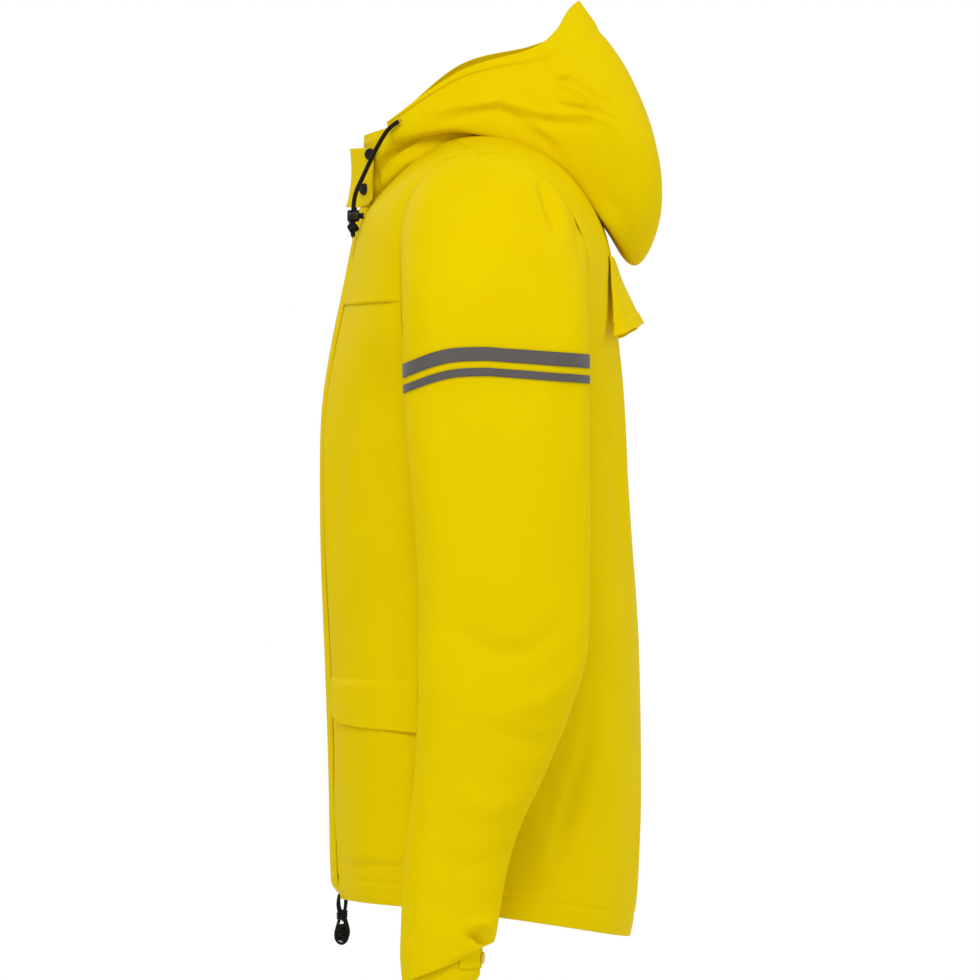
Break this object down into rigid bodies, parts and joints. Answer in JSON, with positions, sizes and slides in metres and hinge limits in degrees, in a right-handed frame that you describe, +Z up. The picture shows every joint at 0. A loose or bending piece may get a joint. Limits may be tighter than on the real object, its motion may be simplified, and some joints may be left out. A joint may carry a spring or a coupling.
{
  "type": "foul weather jacket",
  "caption": "Hooded foul weather jacket with stand collar, zip under a storm flap, yokes, back cape, patch pockets and set-in sleeves.",
  "frame": {"origin": "centre of the neck opening on the shoulder line, where a neck and shoulders or a hanger hold the jacket", "axes": "+Z up, +X to the wearer's left, -Y to the front"},
  "size_m": [0.7172, 0.3426, 0.9833],
  "materials": {
    "shell": "polyurethane-coated knit, satin yellow",
    "lining": "coated cloth, back side",
    "reflective": "grey glass-bead reflective tape",
    "cord": "black braided polyester",
    "zip": "black coil zip",
    "toggle": "black moulded acetal",
    "snap": "black enamelled brass cap",
    "metal": "nickel-plated"
  },
  "bodies": {
    "shell": {"front_left_panel": "shell", "front_right_panel": "shell", "back_panel": "shell", "yoke_left": "shell", "yoke_right": "shell", "hem_channel": "lining", "collar": "shell", "collar_stud_upper": "metal", "collar_stud_lower": "metal", "hanger_loop": "cord", "inner_placket": "lining", "zip_chain_left": "zip", "zip_chain_right": "zip", "zip_stop": "metal", "pocket_left": "shell", "pocket_right": "shell", "hood_side_left": "shell", "hood_side_right": "shell", "hood_eyelet_left": "metal", "hood_eyelet_right": "metal", "hood_cord_left": "cord", "hood_cord_right": "cord", "hood_cord_knot_left": "cord", "hood_cord_knot_right": "cord", "hem_cord_left": "cord", "hem_cord_right": "cord", "hem_cord_bead_left": "toggle", "hem_cord_bead_right": "toggle", "hem_eyelet_left": "metal", "hem_eyelet_right": "metal"},
    "left_sleeve": {"sleeve_left": "shell", "cuff_left": "shell", "reflective_band_wide_left": "reflective", "reflective_band_narrow_left": "reflective"},
    "right_sleeve": {"sleeve_right": "shell", "cuff_right": "shell", "reflective_band_wide_right": "reflective", "reflective_band_narrow_right": "reflective"},
    "left_cuff_tab": {"cuff_tab_left": "shell", "cuff_snap_left": "snap"},
    "right_cuff_tab": {"cuff_tab_right": "shell", "cuff_snap_right": "snap"},
    "front_flap": {"storm_flap": "shell"},
    "tab": {"throat_tab": "shell", "tab_snap_upper": "snap", "tab_snap_lower": "snap"},
    "slider": {"zip_slider": "metal", "zip_pull": "metal"},
    "left_pocket_flap": {"pocket_flap_left": "shell"},
    "right_pocket_flap": {"pocket_flap_right": "shell"},
    "cape": {"back_cape": "shell"},
    "hood": {"hood_pouch_left": "shell", "hood_pouch_right": "shell"},
    "left_lock": {"cord_lock_left": "toggle"},
    "right_lock": {"cord_lock_right": "toggle"},
    "left_plunger": {"cord_lock_plunger_left": "toggle"},
    "right_plunger": {"cord_lock_plunger_right": "toggle"}
  },
  "joints": [
    {"name": "left_shoulder", "type": "hinge", "parent": "shell", "child": "left_sleeve", "pos_m": [0.229, 0.008, -0.11], "axis": [-1, 0, 0], "range_deg": [-25, 90]},
    {"name": "right_shoulder", "type": "hinge", "parent": "shell", "child": "right_sleeve", "pos_m": [-0.229, 0.008, -0.11], "axis": [-1, 0, 0], "range_deg": [-25, 90]},
    {"name": "left_cuff_tab_hinge", "type": "hinge", "parent": "left_sleeve", "child": "left_cuff_tab", "pos_m": [0.319, -0.018, -0.803], "axis": [0, 0, -1], "range_deg": [0, 80]},
    {"name": "right_cuff_tab_hinge", "type": "hinge", "parent": "right_sleeve", "child": "right_cuff_tab", "pos_m": [-0.319, -0.018, -0.803], "axis": [0, 0, 1], "range_deg": [0, 80]},
    {"name": "storm_flap_hinge", "type": "hinge", "parent": "shell", "child": "front_flap", "pos_m": [-0.035, -0.1625, -0.4], "axis": [0, 0, -1], "range_deg": [0, 135]},
    {"name": "throat_tab_hinge", "type": "hinge", "parent": "shell", "child": "tab", "pos_m": [-0.025, -0.1225, -0.024], "axis": [0, 0, -1], "range_deg": [0, 110]},
    {"name": "zip", "type": "hinge", "parent": "shell", "child": "slider", "pos_m": [0, 2.2015, -0.486], "axis": [1, 0, 0], "range_deg": [0, 15.6]},
    {"name": "left_pocket_flap_hinge", "type": "hinge", "parent": "shell", "child": "left_pocket_flap", "pos_m": [0.165, -0.1372, -0.5215], "axis": [-0.8713, -0.4908, 0], "range_deg": [0, 80]},
    {"name": "right_pocket_flap_hinge", "type": "hinge", "parent": "shell", "child": "right_pocket_flap", "pos_m": [-0.165, -0.1372, -0.5215], "axis": [-0.8713, 0.4908, 0], "range_deg": [0, 80]},
    {"name": "cape_hinge", "type": "hinge", "parent": "shell", "child": "cape", "pos_m": [0, 0.1345, -0.0855], "axis": [1, 0, 0], "range_deg": [0, 25]},
    {"name": "hood_lift", "type": "hinge", "parent": "shell", "child": "hood", "pos_m": [0, 0.03, 0.093], "axis": [1, 0, 0], "range_deg": [0, 30]},
    {"name": "left_lock_slide", "type": "slide", "parent": "shell", "child": "left_lock", "axis": [0, 0, 1], "range_m": [0, 0.006]},
    {"name": "right_lock_slide", "type": "slide", "parent": "shell", "child": "right_lock", "axis": [0, 0, 1], "range_m": [0, 0.006]},
    {"name": "left_plunger_press", "type": "slide", "parent": "left_lock", "child": "left_plunger", "axis": [0, -1, 0], "range_m": [0, 0.0014], "stiffness_N_per_m": 300},
    {"name": "right_plunger_press", "type": "slide", "parent": "right_lock", "child": "right_plunger", "axis": [0, -1, 0], "range_m": [0, 0.0014], "stiffness_N_per_m": 300}
  ]
}
